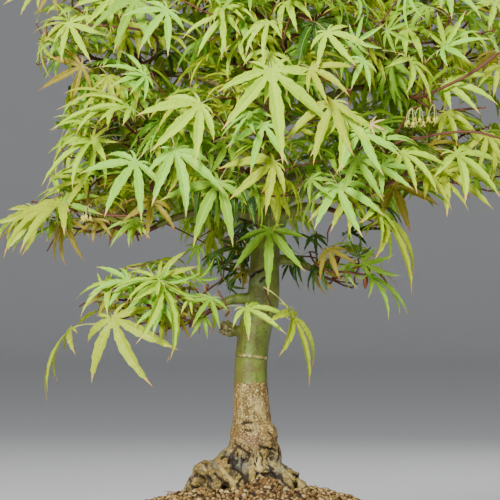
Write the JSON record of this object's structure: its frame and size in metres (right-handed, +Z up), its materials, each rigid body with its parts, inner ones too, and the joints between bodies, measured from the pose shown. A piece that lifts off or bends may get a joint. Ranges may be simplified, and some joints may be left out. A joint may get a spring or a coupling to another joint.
{
  "type": "japanese maple bonsai in a pot",
  "caption": "Small potted maple tree with a tapering trunk, spreading boughs, lobed leaves in layered masses, and a plain oval pot filled with soil.",
  "frame": {"origin": "middle of the pot's flat underside", "axes": "+Z up along the tree, +X to the right of the front view along the pot's length, +Y to the back"},
  "size_m": [0.3201, 0.2633, 0.4458],
  "materials": {
    "stoneware": "unglazed, matt",
    "soil": "granular, dry",
    "bark": "bark, tan below and olive green above",
    "young_bark": "smooth young bark",
    "leaf": "soft satin leaf"
  },
  "bodies": {
    "root": {"pot": "stoneware", "soil": "soil", "trunk": "bark", "bough_low_left": "young_bark", "bough_left_long": "young_bark", "bough_left_middle": "young_bark", "bough_left_upper": "young_bark", "bough_front_middle": "young_bark", "bough_front_upper": "young_bark", "bough_front_right": "young_bark", "bough_right_low": "young_bark", "bough_right_long": "young_bark", "bough_right_upper": "young_bark", "bough_back_left": "young_bark", "bough_back_middle": "young_bark", "bough_back_right": "young_bark", "bough_back_upper": "young_bark", "bough_shoulder_left": "young_bark", "bough_shoulder_right": "young_bark", "bough_shoulder_front": "young_bark", "bough_shoulder_back": "young_bark", "foliage_low_left": "leaf", "foliage_low_front": "leaf", "foliage_left_long": "leaf", "foliage_left_middle": "leaf", "foliage_left_upper": "leaf", "foliage_front_middle": "leaf", "foliage_front_upper": "leaf", "foliage_front_right": "leaf", "foliage_right_low": "leaf", "foliage_right_long": "leaf", "foliage_right_upper": "leaf", "foliage_back_left": "leaf", "foliage_back_middle": "leaf", "foliage_back_right": "leaf", "foliage_back_upper": "leaf", "foliage_shoulder_left": "leaf", "foliage_shoulder_right": "leaf", "foliage_shoulder_front": "leaf", "foliage_shoulder_back": "leaf", "foliage_apex": "leaf"}
  },
  "joints": []
}
